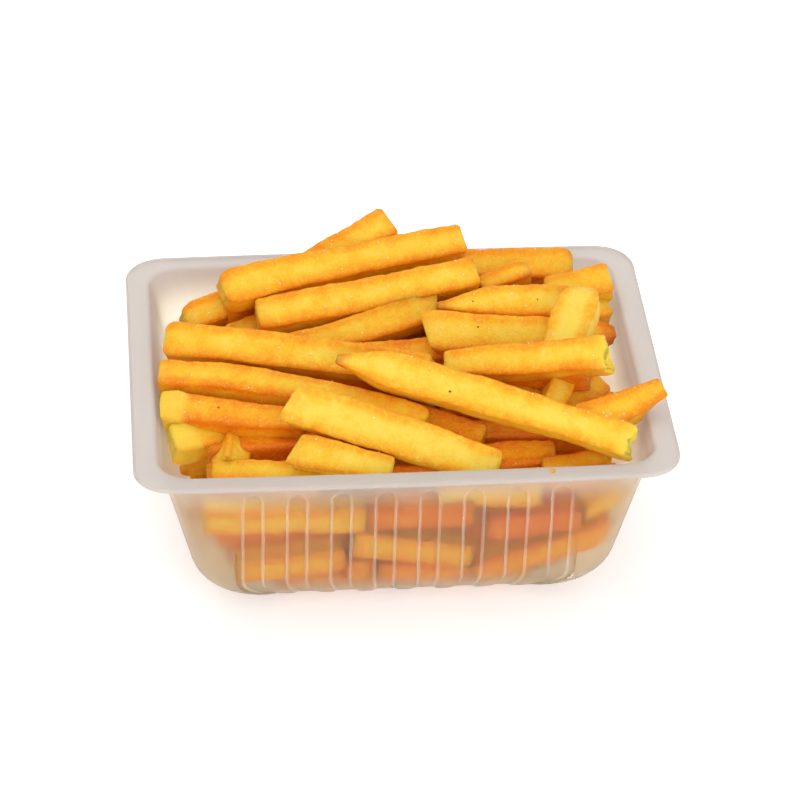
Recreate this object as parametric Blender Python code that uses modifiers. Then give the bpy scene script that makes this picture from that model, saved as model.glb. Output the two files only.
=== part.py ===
"""French fries heaped in a thin translucent plastic tray.

Two solids: the pressed tray with its flat flange and the upright flutes in its
long walls, and the heap of fries that fills it. Lengths below are millimetres;
the meshes are made in metres. The origin is the middle of the tray's underside.
"""

import math
import random

import bmesh
import bpy
from mathutils import Vector

MM = 0.001

# Tray
TRAY_LENGTH = 160.0
TRAY_WIDTH = 124.0
TRAY_HEIGHT = 54.0
SHEET = 0.6
FLANGE_AT_ENDS = 7.7
FLANGE_AT_SIDES = 6.5
FLANGE_LIP = 1.0
FLANGE_BEND = 0.6
FLANGE_BEND_DROP = 1.2
RIM_CORNER = 10.9
RIM_BOW = 0.7
END_LEAN = 13.3
SIDE_LEAN = 4.0
OPENING_CORNER = 9.0
BASE_CORNER = 11.0
END_BASE_RADIUS = 16.0
SIDE_BASE_RADIUS = 5.0
CORNER_STEPS = 5
UPPER_WALL_LEVELS = (30.0, END_BASE_RADIUS, 9.0)
LOWER_WALL_LEVELS = (1.6, 0.4, 0.0)

# Flutes pressed inwards in each long wall
FLUTES = 8
FLUTE_PITCH = 13.0
FLUTE_WIDTH = 5.6
FLUTE_FLOOR = 2.6
FLUTE_DEPTH = 0.9
FLUTE_TOP = 45.5
FLUTE_TOP_RUN = 2.5
FLUTE_FOOT = 4.0
FLUTE_TO_CORNER = 0.5

# Heap
FRY_THICKNESS = 8.0
FRY_CHAMFER = 1.5
FRY_SEGMENT = 24.0
FRY_UNEVEN = 0.35
FRY_END_UNEVEN = 0.7
SHARP_EDGE = math.radians(50)
WALL_GAP = 0.4
CORE_INSET = 3.5
CORE_UNDER = 2.6
CORE_REACH = 4.6
CORE_BANK = 33.0
CORE_RISE = 10.0
CORE_COLUMNS = 20
CORE_ROWS = 15
CORE_LEVELS = 3
CORE_LIFT = 1.0
WALL_ROWS = 4
WALL_ROW_FIRST = 5.8
WALL_ROW_PITCH = 9.0
WALL_ROW_IN = 6.0
WALL_ROW_END = 12.0
WALL_FRY_WIDTH = 9.0
WALL_FRY_LIFT = 0.4
WALL_FRY_GAP = 4.0
WALL_SPLIT = 0.35
BED_ROWS = 8
BED_FRONT = -40.0
BED_PITCH = 10.8
BED_MIDDLE = 48.0
BED_DROP = 7.0
BED_LEFT = -60.0
BED_RIGHT = 56.0
BED_SPLIT = (-22.0, 18.0)
BED_GAP = 6.0
BED_SHIFT = 6.0
BED_TURN = 3.0
BED_DIP = 3.0
BED_DIP_BEYOND = 40.0
SEED = 12

# Each fry that shows above the rim, from the lowest up: the two ends of its middle
# line, its width at both ends, and how far its middle bows towards the back wall.
TOP_FRIES = [
    ((-57, -40, 42), (-25, -45, 43), 8, 8, 0),
    ((-44, -26, 41), (-12, -33, 42), 9, 9, 0),
    ((0, -24, 50), (24, -35, 47), 9, 9, 0),
    ((18, -41, 44), (45, -39, 44), 9, 9, 0),
    ((40, -46, 43), (60, -43, 43), 8, 8, 0),
    ((-69, -8, 48), (-49, -12, 46), 3, 8, 0),
    ((-67, -28, 44), (-53, -23, 43), 9, 8, 0),
    ((-49, -37, 46), (-47, -2, 42), 8, 8, 0),
    ((-32, -43, 50), (-4, -48, 47), 9, 8, 0),
    ((13, -8, 53), (40, -20, 50), 7, 7, 0),
    ((48, -19, 44), (67, -12, 44), 8, 7, 0),
    ((45, -26, 48), (62, -11, 51), 8, 9, 0),
    ((44, -28, 54), (53, -5, 57), 6, 6, 0),
    ((-10, 0, 54), (19, 4, 54), 8, 8, 0),
    ((48, 14, 51), (69, 18, 48), 8, 4, 0),
    ((50, 22, 53), (68, 28, 51), 8, 8, 0),
    ((49, 29, 57), (69, 32, 59), 7, 10, 0),
    ((30, 31, 59), (45, 35, 62), 5, 6, 0),
    ((25, 46, 57), (60, 45, 56), 8, 9, 1),
    ((-50, 14, 53), (-16, 30, 55), 8, 8, 0),
    ((-63, 22, 55), (-38, 34, 57), 8, 8, 0),
    ((-68, -7, 54), (7, -35, 54), 9, 8, 5),
    ((-69, -18, 50), (-28, -26, 49), 9, 8, 0),
    ((-37, 4, 55), (13, 19, 60), 8, 8, -1),
    ((-32, 35, 58), (1, 50, 71), 8, 8.5, 0),
    ((14, 14, 64), (56, 17, 60), 4, 9, 1),
    ((10, 3, 62), (50, 4, 58), 10, 7, 0),
    ((46, -14, 59), (58, 11, 68), 12, 13, 0),
    ((14, -13, 60), (62, -21, 68), 8, 9, 0),
    ((56, -38, 54), (78, -29, 60), 11, 4, 0),
    ((-67, 8, 58), (10, -17, 61), 9, 7, 1),
    ((-39, 15, 61), (27, 28, 66), 10, 8, -1),
    ((-33, -32, 62), (27, -49, 47), 10, 9, 1),
    ((-50, 21, 67), (25, 45, 67), 9, 9, 1),
    ((-19, -17, 67), (66, -50, 56), 6, 7, 2),
]


def clear_scene():
    for item in list(bpy.data.objects):
        bpy.data.objects.remove(item, do_unlink=True)


def plastic_or_food(name, colour, roughness):
    material = bpy.data.materials.new(name)
    material.use_nodes = True
    shader = material.node_tree.nodes["Principled BSDF"]
    shader.inputs["Base Color"].default_value = (*colour, 1)
    shader.inputs["Roughness"].default_value = roughness
    shader.inputs["Metallic"].default_value = 0.0
    return material


def object_from(name, shape, collection, material=None):
    """A new object in the collection that holds the bmesh, which is then freed."""
    mesh = bpy.data.meshes.new(name)
    shape.to_mesh(mesh)
    shape.free()
    item = bpy.data.objects.new(name, mesh)
    collection.objects.link(item)
    if material:
        mesh.materials.append(material)
    return item


def new_collection(name):
    collection = bpy.data.collections.new(name)
    bpy.context.scene.collection.children.link(collection)
    return collection


def round_in(z, radius):
    """How far a rounded bottom edge has drawn the wall in at height z."""
    if z >= radius:
        return 0.0
    return radius - math.sqrt(radius**2 - (radius - z) ** 2)


def inner_half(z):
    """Half length and half width of the tray's inside at height z."""
    down = 1 - z / TRAY_HEIGHT
    half_x = TRAY_LENGTH / 2 - FLANGE_AT_ENDS - END_LEAN * down - round_in(z, END_BASE_RADIUS)
    half_y = TRAY_WIDTH / 2 - FLANGE_AT_SIDES - SIDE_LEAN * down - round_in(z, SIDE_BASE_RADIUS)
    return half_x, half_y


def flute_depth(z):
    """How deep the flutes are pressed at height z: they fade out at head and foot."""
    head = min(1.0, max(0.0, (FLUTE_TOP - z) / FLUTE_TOP_RUN))
    foot = min(1.0, max(0.0, z / FLUTE_FOOT))
    return FLUTE_DEPTH * min(head, foot)


def flute_stations():
    """(x, share of the flute's depth) along a long wall, left to right."""
    found = []
    for index in range(FLUTES):
        middle = (index - (FLUTES - 1) / 2) * FLUTE_PITCH
        found += [
            (middle - FLUTE_WIDTH / 2, 0),
            (middle - FLUTE_FLOOR / 2, 1),
            (middle + FLUTE_FLOOR / 2, 1),
            (middle + FLUTE_WIDTH / 2, 0),
        ]
    return found


def ring(half_x, half_y, corner, z, depth=0.0):
    """One level of the tray's outside, anticlockwise seen from above."""
    stations = flute_stations()
    squeeze = min(1.0, (half_x - corner - FLUTE_TO_CORNER) / stations[-1][0])
    bow = RIM_BOW * z / TRAY_HEIGHT

    def bowed(x):
        return half_y + bow * (1 - (x / half_x) ** 2)

    points = []
    for side in (-1, 1):
        for x, share in stations:
            x *= squeeze * -side
            points.append((x, side * (bowed(x) - depth * share), z))
        centre_x = (half_x - corner) * -side
        first = -90 if side < 0 else 90
        for turn in (0, 90):
            centre_y = (half_y - corner) * (side if turn == 0 else -side)
            for step in range(CORNER_STEPS):
                angle = math.radians(first + turn + 90 * step / (CORNER_STEPS - 1))
                x = centre_x + corner * math.cos(angle)
                y = centre_y + corner * math.sin(angle)
                points.append((x, y + math.copysign(bowed(x) - half_y, y), z))
    return [Vector(point) * MM for point in points]


def tray_rings():
    """The levels of the tray's outside, from the flange's lip down to the base."""
    rings = []
    underside = TRAY_HEIGHT - SHEET
    for z in (underside - FLANGE_LIP, underside):
        rings.append(ring(TRAY_LENGTH / 2 - SHEET, TRAY_WIDTH / 2 - SHEET, RIM_CORNER, z))
    heights = (underside, underside - FLANGE_BEND_DROP, FLUTE_TOP, FLUTE_TOP - FLUTE_TOP_RUN)
    heights += (*UPPER_WALL_LEVELS, FLUTE_FOOT, *LOWER_WALL_LEVELS)
    for z in heights:
        half_x, half_y = inner_half(z)
        spread = FLANGE_BEND if z == underside else 0.0
        corner = OPENING_CORNER + (BASE_CORNER - OPENING_CORNER) * (1 - z / TRAY_HEIGHT)
        rings.append(
            ring(half_x + SHEET + spread, half_y + SHEET + spread, corner, z, flute_depth(z))
        )
    return rings


def make_tray(collection):
    """The pressed sheet: a loft through the levels, closed by the base, given its thickness."""
    shape = bmesh.new()
    levels = [[shape.verts.new(point) for point in level] for level in tray_rings()]
    for upper, lower in zip(levels, levels[1:]):
        for index in range(len(upper)):
            after = (index + 1) % len(upper)
            shape.faces.new((upper[index], lower[index], lower[after], upper[after]))
    shape.faces.new(reversed(levels[-1]))
    bmesh.ops.recalc_face_normals(shape, faces=shape.faces)
    tray = object_from(
        "tray", shape, collection, plastic_or_food("frosted_plastic", (0.84, 0.80, 0.79), 0.4)
    )
    sheet = tray.modifiers.new("Sheet", "SOLIDIFY")
    sheet.thickness = SHEET * MM
    sheet.offset = 1
    sheet.use_even_offset = True
    return tray


def into_tray(point, inset):
    """The point moved inside the walls, as deep as the inset, where it is below the rim."""
    x, y, z = point
    z = max(z, SHEET + inset)
    if z > TRAY_HEIGHT + 1:
        return Vector((x, y, z))
    half_x, half_y = inner_half(min(z, TRAY_HEIGHT) - 2 * SHEET)
    half_x -= inset
    half_y -= inset + FLUTE_DEPTH
    x = max(-half_x, min(half_x, x))
    y = max(-half_y, min(half_y, y))
    corner = BASE_CORNER + 1
    over_x = abs(x) - (half_x - corner)
    over_y = abs(y) - (half_y - corner)
    if over_x > 0 and over_y > 0 and math.hypot(over_x, over_y) > corner:
        pull = corner / math.hypot(over_x, over_y)
        x = math.copysign(half_x - corner + over_x * pull, x)
        y = math.copysign(half_y - corner + over_y * pull, y)
    return Vector((x, y, z))


def fry_middle(fry, along):
    """The point at a share of the way along the fry's middle line."""
    first, last, _, _, bow = fry
    point = Vector(first).lerp(Vector(last), along)
    return point + Vector((0, bow * 4 * along * (1 - along), 0))


def make_fry(fry, number, collection, rng):
    """One fry with chamfered edges: a cube drawn out along its middle line."""
    first, last, width_first, width_last, _ = fry
    length = (Vector(last) - Vector(first)).length
    cuts = max(1, round(length / FRY_SEGMENT))
    shape = bmesh.new()
    bmesh.ops.create_cube(shape, size=1)
    lengthwise = [e for e in shape.edges if abs(e.verts[0].co.x - e.verts[1].co.x) > 0.5]
    bmesh.ops.subdivide_edges(shape, edges=lengthwise, cuts=cuts)
    run = (Vector(last) - Vector(first)).normalized()
    across = Vector((0, 0, 1)).cross(run).normalized()
    up = run.cross(across)
    for vert in shape.verts:
        along = vert.co.x + 0.5
        width = width_first + (width_last - width_first) * along
        thick = min(FRY_THICKNESS, width + 1)
        uneven = [rng.uniform(-1, 1) for _ in range(3)]
        point = fry_middle(fry, along)
        point += across * vert.co.y * (width + FRY_UNEVEN * uneven[0])
        point += up * vert.co.z * (thick + FRY_UNEVEN * uneven[1])
        point += run * FRY_END_UNEVEN * uneven[2]
        vert.co = point
    shape.normal_update()
    rims = [e for e in shape.edges if e.calc_face_angle(0) > SHARP_EDGE]
    chamfer = FRY_CHAMFER * min(1.0, min(width_first, width_last) / FRY_THICKNESS)
    bmesh.ops.bevel(shape, geom=rims, offset=chamfer, segments=1, affect="EDGES")
    inset = WALL_GAP + rng.uniform(0, FRY_UNEVEN)
    for vert in shape.verts:
        vert.co = into_tray(vert.co, inset) * MM
    bmesh.ops.recalc_face_normals(shape, faces=shape.faces)
    return object_from(f"fry_{number}", shape, collection)


def wall_fries(rng):
    """The fries that lie along the walls below the rim and show through them."""
    found = []
    for row in range(WALL_ROWS):
        z = WALL_ROW_FIRST + row * WALL_ROW_PITCH
        half_x, half_y = inner_half(z - 3)
        y = half_y - FLUTE_DEPTH - WALL_ROW_IN
        for side in (-1, 1):
            split = rng.uniform(-WALL_SPLIT, WALL_SPLIT) * half_x
            ends = (WALL_ROW_END - half_x, split, half_x - WALL_ROW_END)
            for start, stop in zip(ends, ends[1:]):
                lift = rng.uniform(-WALL_FRY_LIFT, WALL_FRY_LIFT)
                left = (start + WALL_FRY_GAP / 2, side * y, z - lift)
                right = (stop - WALL_FRY_GAP / 2, side * y, z + lift)
                found.append((left, right, WALL_FRY_WIDTH, WALL_FRY_WIDTH, 0))
            x = side * (half_x - WALL_ROW_IN)
            reach = rng.uniform(0.4, 0.6) * half_y
            found.append(((x, -reach, z), (x, reach, z), WALL_FRY_WIDTH, WALL_FRY_WIDTH, 0))
    return found


def bed_fries(rng):
    """The layer that the top fries lie on, seen in the gaps between them."""
    found = []
    for row in range(BED_ROWS):
        y = BED_FRONT + row * BED_PITCH
        middle = BED_MIDDLE - BED_DROP * (y / BED_FRONT) ** 2
        split = rng.uniform(*BED_SPLIT)
        for left, right in ((BED_LEFT, split - BED_GAP / 2), (split + BED_GAP / 2, BED_RIGHT)):
            left += rng.uniform(0, BED_SHIFT)
            turn = rng.uniform(-BED_TURN, BED_TURN)
            dip = rng.uniform(0, BED_DIP)
            first = (left, y - turn, middle - (dip if left < 0 else 0))
            last = (right, y + turn, middle - (dip if right > BED_DIP_BEYOND else 0))
            found.append((first, last, FRY_THICKNESS, FRY_THICKNESS, 0))
    return found


def core_height(x, y):
    """Just inside the highest fry near the point, else a bank that rises to the middle."""
    half_x, half_y = inner_half(TRAY_HEIGHT)
    middle = (1 - (x / half_x) ** 4) * (1 - (y / half_y) ** 4)
    height = CORE_BANK + CORE_RISE * max(0, middle)
    for fry in TOP_FRIES:
        first, last = Vector(fry[0]), Vector(fry[1])
        run = (last - first).xy
        along = (Vector((x, y)) - first.xy).dot(run) / run.length_squared
        along = max(0.0, min(1.0, along))
        middle = fry_middle(fry, along)
        if (middle.xy - Vector((x, y))).length < CORE_REACH:
            height = max(height, middle.z - CORE_UNDER)
    return height


def core_top(x, y):
    """The core's height, evened out over a fry's width."""
    step = FRY_THICKNESS / 2
    nearby = ((0, 0), (step, 0), (-step, 0), (0, step), (0, -step))
    return sum(core_height(x + dx, y + dy) for dx, dy in nearby) / len(nearby)


def make_core(collection):
    """The block under the fries: a cube cut into cells and moved to the tray's form."""
    shape = bmesh.new()
    bmesh.ops.create_grid(shape, x_segments=CORE_COLUMNS, y_segments=CORE_ROWS, size=1)
    top = bmesh.ops.extrude_face_region(shape, geom=list(shape.faces))
    lifted = [v for v in top["geom"] if isinstance(v, bmesh.types.BMVert)]
    for vert in lifted:
        vert.co.z = 1
    upright = [e for e in shape.edges if abs(e.verts[0].co.z - e.verts[1].co.z) > 0.5]
    bmesh.ops.subdivide_edges(shape, edges=upright, cuts=CORE_LEVELS)
    for vert in shape.verts:
        across_x, across_y, up = vert.co
        rim_x, rim_y = inner_half(TRAY_HEIGHT)
        height = core_top(across_x * (rim_x - CORE_INSET), across_y * (rim_y - CORE_INSET))
        lowest = SHEET + WALL_GAP + CORE_LIFT
        z = lowest + (height - lowest) * up
        half_x, half_y = inner_half(min(z, TRAY_HEIGHT))
        point = (across_x * (half_x - CORE_INSET), across_y * (half_y - CORE_INSET), z)
        vert.co = into_tray(point, CORE_INSET) * MM
    bmesh.ops.recalc_face_normals(shape, faces=shape.faces)
    return object_from("fries", shape, collection)


def keep_largest_shell(item):
    """Drops the walls of sealed hollows and any loose scrap: only the largest shell stays."""
    shape = bmesh.new()
    shape.from_mesh(item.data)
    left = set(shape.faces)
    shells = []
    while left:
        shell = []
        front = [left.pop()]
        while front:
            face = front.pop()
            shell.append(face)
            for edge in face.edges:
                for other in edge.link_faces:
                    if other in left:
                        left.discard(other)
                        front.append(other)
        shells.append(shell)
    largest = max(shells, key=len)
    doomed = [face for shell in shells if shell is not largest for face in shell]
    bmesh.ops.delete(shape, geom=doomed, context="FACES")
    shape.to_mesh(item.data)
    shape.free()


def make_heap(collection):
    """The core with every fry that shows joined to it."""
    rng = random.Random(SEED)
    heap = make_core(collection)
    pieces = new_collection("fry_pieces")
    for number, fry in enumerate(wall_fries(rng) + bed_fries(rng) + TOP_FRIES):
        make_fry(fry, number, pieces, rng)
    joined = heap.modifiers.new("Fries", "BOOLEAN")
    joined.operation = "UNION"
    joined.operand_type = "COLLECTION"
    joined.collection = pieces
    bpy.context.view_layer.objects.active = heap
    bpy.context.view_layer.update()
    graph = bpy.context.evaluated_depsgraph_get()
    mesh = bpy.data.meshes.new_from_object(heap.evaluated_get(graph))
    heap.modifiers.clear()
    heap.data = mesh
    for piece in list(pieces.objects):
        bpy.data.objects.remove(piece, do_unlink=True)
    bpy.data.collections.remove(pieces)
    keep_largest_shell(heap)
    heap.data.materials.clear()
    heap.data.materials.append(plastic_or_food("golden_fries", (0.86, 0.56, 0.13), 0.6))
    return heap


def main():
    clear_scene()
    served = new_collection("fries_in_tray")
    make_tray(served)
    make_heap(served)


main()
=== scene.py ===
"""French fries heaped in a frosted plastic tray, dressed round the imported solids.

Lengths are in millimetres until a point is placed, where MM makes them metres. X runs
along the tray, Y towards its back and Z up, from the middle of the tray's underside.
"""

import math
import random

import bpy
from mathutils import Matrix, Vector, noise
from mathutils.bvhtree import BVHTree


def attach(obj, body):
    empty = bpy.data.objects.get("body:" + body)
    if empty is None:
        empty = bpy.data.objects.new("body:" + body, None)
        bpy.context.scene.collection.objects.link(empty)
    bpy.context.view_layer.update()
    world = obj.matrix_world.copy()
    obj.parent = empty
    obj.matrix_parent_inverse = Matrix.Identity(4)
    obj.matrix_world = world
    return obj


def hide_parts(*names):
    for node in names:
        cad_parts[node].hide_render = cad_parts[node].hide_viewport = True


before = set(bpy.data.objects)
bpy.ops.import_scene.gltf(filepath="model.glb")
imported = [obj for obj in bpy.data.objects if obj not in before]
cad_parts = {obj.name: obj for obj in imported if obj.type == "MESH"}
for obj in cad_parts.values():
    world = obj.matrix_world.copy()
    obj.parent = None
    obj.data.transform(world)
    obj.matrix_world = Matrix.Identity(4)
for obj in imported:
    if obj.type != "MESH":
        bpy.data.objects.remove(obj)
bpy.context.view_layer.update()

# The tray
# One sheet of frosted polypropylene drawn over a mould: a flat flange with a small lip,
# walls that lean in, and eight flutes pressed inwards in each long wall. A fine grid is
# wrapped round the mould, level by level, closed underneath and given its thickness.
MM = 0.001
TRAY_LENGTH = 160.0
TRAY_WIDTH = 124.0
TRAY_HEIGHT = 54.0
SHEET = 0.6
FLANGE_AT_ENDS = 7.7
FLANGE_AT_SIDES = 6.5
FLANGE_LIP = 1.0
FLANGE_BEND = 1.4
RIM_CORNER = 10.9
RIM_BOW = 0.7
END_LEAN = 13.3
SIDE_LEAN = 4.0
OPENING_CORNER = 9.0
BASE_CORNER = 11.0
END_BASE_RADIUS = 16.0
SIDE_BASE_RADIUS = 14.0
FLUTES = 8
FLUTE_PITCH = 13.0
FLUTE_WIDTH = 5.6
FLUTE_DEPTH = 0.9
FLUTE_TOP = 45.5
FLUTE_FOOT = 3.2
FLUTE_EDGE = 0.9
FLUTE_BAND = 49.5
FLUTE_TO_CORNER = 0.5
FLUTE_FADE = 1.5
WHITE_ABOVE = 1.0
WHITE_FADE = 3.0
WHITE_ENOUGH = 0.3
REED_DEPTH = 0.12
REEDS_ABOVE = 14.0
REEDS_BELOW = 52.0
REEDS_FADE_IN = 8.0
REEDS_FADE_OUT = 5.0
MILKY_FROM = 38.0
MILKY_TO = 56.0
BASE_SHRINK = 0.9

# Where the grid's columns and levels lie: degrees round a corner, distances from a flute's
# middle, shares of the way from the flutes to the corner, and steps down the wall.
CORNER_STEP = 5
CORNER_TURNS = [CORNER_STEP * step for step in range(1, 18)]
FROM_FLUTE = [0.0, 0.9, 1.6, 2.1, 2.45, 2.8, 3.15, 3.5, 4.1, 5.2, FLUTE_PITCH / 2]
PAST_FLUTES = (0.2, 0.4, 0.6, 0.8, 1.0)
END_HALF = 12
LIP_DROPS = (FLANGE_LIP, 0.6, 0.25)
LIP_EDGE = 0.2
FLANGE_SHARES = (0.1, 0.4, 0.7)
BEND_TURNS = (0, 22, 45, 67, 90)
WALL_FROM = 2.4
WALL_STEP = 2.0
FINE_STEP = 0.5
FINE_UNDER = 8.5
FINE_ARCHES = (FLUTE_TOP - 4, FLUTE_TOP + 2)


def deselect_all():
    bpy.ops.object.select_all(action="DESELECT")


def round_in(z, radius):
    """How far a rounded bottom edge has drawn the wall in at height z."""
    if z >= radius:
        return 0.0
    return radius - math.sqrt(max(0.0, radius**2 - (radius - z) ** 2))


def inner_half(z):
    """Half length and half width of the tray's inside at height z."""
    down = 1 - z / TRAY_HEIGHT
    half_x = TRAY_LENGTH / 2 - FLANGE_AT_ENDS - END_LEAN * down - round_in(z, END_BASE_RADIUS)
    half_y = TRAY_WIDTH / 2 - FLANGE_AT_SIDES - SIDE_LEAN * down - round_in(z, SIDE_BASE_RADIUS)
    return half_x, half_y


def smooth(value):
    value = min(1.0, max(0.0, value))
    return value * value * (3 - 2 * value)


def flute_pressed(x, z):
    """The share of the full flute depth at a place on a long wall."""
    outermost = (FLUTES - 1) / 2
    nearest = max(-outermost, min(outermost, round(x / FLUTE_PITCH + outermost) - outermost))
    from_flute = abs(x - nearest * FLUTE_PITCH)
    half = FLUTE_WIDTH / 2
    arch = FLUTE_TOP - half
    inside = half - (math.hypot(from_flute, z - arch) if z > arch else from_flute)
    strip_half = (FLUTE_PITCH - FLUTE_WIDTH) / 2
    foot = FLUTE_FOOT + strip_half
    if z < foot and abs(x) < outermost * FLUTE_PITCH:
        from_strip = FLUTE_PITCH / 2 - from_flute
        inside = max(inside, math.hypot(from_strip, z - foot) - strip_half)
    return smooth(inside / FLUTE_EDGE + 0.5) * smooth(z / FLUTE_FADE)


def bend_whiteness(x, z):
    """1 on the sharp bends round the flutes, where the stretched sheet turns white."""
    pressed = flute_pressed(x, z)
    return smooth(4 * pressed * (1 - pressed)) * smooth((z - WHITE_ABOVE) / WHITE_FADE)


def half_stations():
    """Places round one half of the tray: a long side, a corner, an end and a corner."""
    flutes = set()
    for flute in range(FLUTES):
        middle = (flute - (FLUTES - 1) / 2) * FLUTE_PITCH
        for reach in FROM_FLUTE:
            if reach < FLUTE_PITCH / 2 or 0 < flute:
                flutes.add(round(middle - reach, 2))
            if reach < FLUTE_PITCH / 2 or flute < FLUTES - 1:
                flutes.add(round(middle + reach, 2))
    places = [("past", -share) for share in reversed(PAST_FLUTES)]
    places += [("flutes", x) for x in sorted(flutes)]
    places += [("past", share) for share in PAST_FLUTES]
    places += [("front turn", turn) for turn in CORNER_TURNS]
    places += [("end", step / END_HALF - 1) for step in range(2 * END_HALF + 1)]
    places += [("back turn", turn) for turn in CORNER_TURNS]
    return places


def on_tray(place, half_x, half_y, corner, z):
    """The point of a station on a level of the front or right side."""
    kind, value = place
    straight_x, straight_y = half_x - corner, half_y - corner
    band = min(FLUTE_BAND, straight_x - FLUTE_TO_CORNER)
    if kind in ("flutes", "past"):
        x = value * band / FLUTE_BAND
        if kind == "past":
            x = math.copysign(band + (straight_x - band) * abs(value), value)
        pressed = FLUTE_DEPTH * flute_pressed(value, z) if kind == "flutes" else 0.0
        bow = RIM_BOW * z / TRAY_HEIGHT * (1 - (x / half_x) ** 2)
        return x, pressed - half_y - bow
    if kind == "end":
        return half_x, value * straight_y
    reeded = REED_DEPTH * (round(value / CORNER_STEP) % 2)
    reeded *= smooth((z - REEDS_ABOVE) / REEDS_FADE_IN)
    reeded *= smooth((REEDS_BELOW - z) / REEDS_FADE_OUT)
    turn = math.radians(value)
    reach = corner - reeded
    if kind == "front turn":
        return straight_x + reach * math.sin(turn), -straight_y - reach * math.cos(turn)
    return straight_x + reach * math.cos(turn), straight_y + reach * math.sin(turn)


def tray_levels():
    """(half length, half width, corner, height) of the outer skin, from the lip down."""
    underside = TRAY_HEIGHT - SHEET
    rim_x, rim_y = TRAY_LENGTH / 2 - SHEET, TRAY_WIDTH / 2 - SHEET
    found = [(rim_x, rim_y, RIM_CORNER, underside - drop) for drop in LIP_DROPS]
    found.append((rim_x - LIP_EDGE, rim_y - LIP_EDGE, RIM_CORNER - LIP_EDGE, underside))
    open_x, open_y = inner_half(TRAY_HEIGHT)
    for share in FLANGE_SHARES:
        flange_x = rim_x + (open_x + FLANGE_BEND + SHEET - rim_x) * share
        flange_y = rim_y + (open_y + FLANGE_BEND + SHEET - rim_y) * share
        corner = RIM_CORNER + (OPENING_CORNER - RIM_CORNER) * share
        found.append((flange_x, flange_y, corner, underside))
    for turn in BEND_TURNS:
        out = FLANGE_BEND * (1 - math.sin(math.radians(turn))) + SHEET
        z = underside - FLANGE_BEND * (1 - math.cos(math.radians(turn)))
        found.append((open_x + out, open_y + out, OPENING_CORNER + out, z))
    z = underside - WALL_FROM
    while z > 0.2:
        half_x, half_y = inner_half(z)
        corner = OPENING_CORNER + (BASE_CORNER - OPENING_CORNER) * (1 - z / TRAY_HEIGHT)
        found.append((half_x + SHEET, half_y + SHEET, corner + SHEET, z))
        fine = FINE_ARCHES[0] < z < FINE_ARCHES[1] or z < FINE_UNDER
        z -= FINE_STEP if fine else WALL_STEP
    half_x, half_y = inner_half(0.0)
    found.append((half_x + SHEET, half_y + SHEET, BASE_CORNER + SHEET, 0.0))
    return found


deselect_all()
levels = tray_levels()
half_round = half_stations()
columns = 2 * len(half_round)
bpy.ops.mesh.primitive_grid_add(x_subdivisions=columns, y_subdivisions=len(levels) - 1, size=1)
tray = bpy.context.object
tray.name = "frosted_tray"
bends = tray.data.color_attributes.new("bends", "FLOAT_COLOR", "POINT")
for vert in tray.data.vertices:
    level = levels[round((0.5 - vert.co.y) * (len(levels) - 1))]
    station = round((vert.co.x + 0.5) * columns) % columns
    place = half_round[station % len(half_round)]
    x, y = on_tray(place, *level)
    side = 1 if station < len(half_round) else -1
    vert.co = Vector((side * x, side * y, level[3])) * MM
    white = bend_whiteness(place[1], level[3]) if place[0] == "flutes" else 0.0
    bends.data[vert.index].color = (white, white, white, 1)
bpy.ops.object.mode_set(mode="EDIT")
bpy.ops.mesh.select_all(action="SELECT")
bpy.ops.mesh.remove_doubles(threshold=0.001 * MM)
bpy.ops.mesh.select_mode(type="VERT")
bpy.ops.mesh.select_all(action="DESELECT")
bpy.ops.object.mode_set(mode="OBJECT")
for vert in tray.data.vertices:
    vert.select = vert.co.z < 0.1 * MM
bpy.ops.object.mode_set(mode="EDIT")
bpy.ops.mesh.extrude_region_move()
bpy.ops.transform.resize(value=(BASE_SHRINK, BASE_SHRINK, 1))
bpy.ops.mesh.edge_face_add()
bpy.ops.mesh.select_all(action="SELECT")
bpy.ops.mesh.normals_make_consistent(inside=False)
bpy.ops.object.mode_set(mode="OBJECT")
sheet = tray.modifiers.new("Sheet", "SOLIDIFY")
sheet.thickness = SHEET * MM
sheet.offset = 1
bpy.ops.object.modifier_apply(modifier="Sheet")
bpy.ops.object.shade_smooth_by_angle(angle=math.radians(45))


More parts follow.
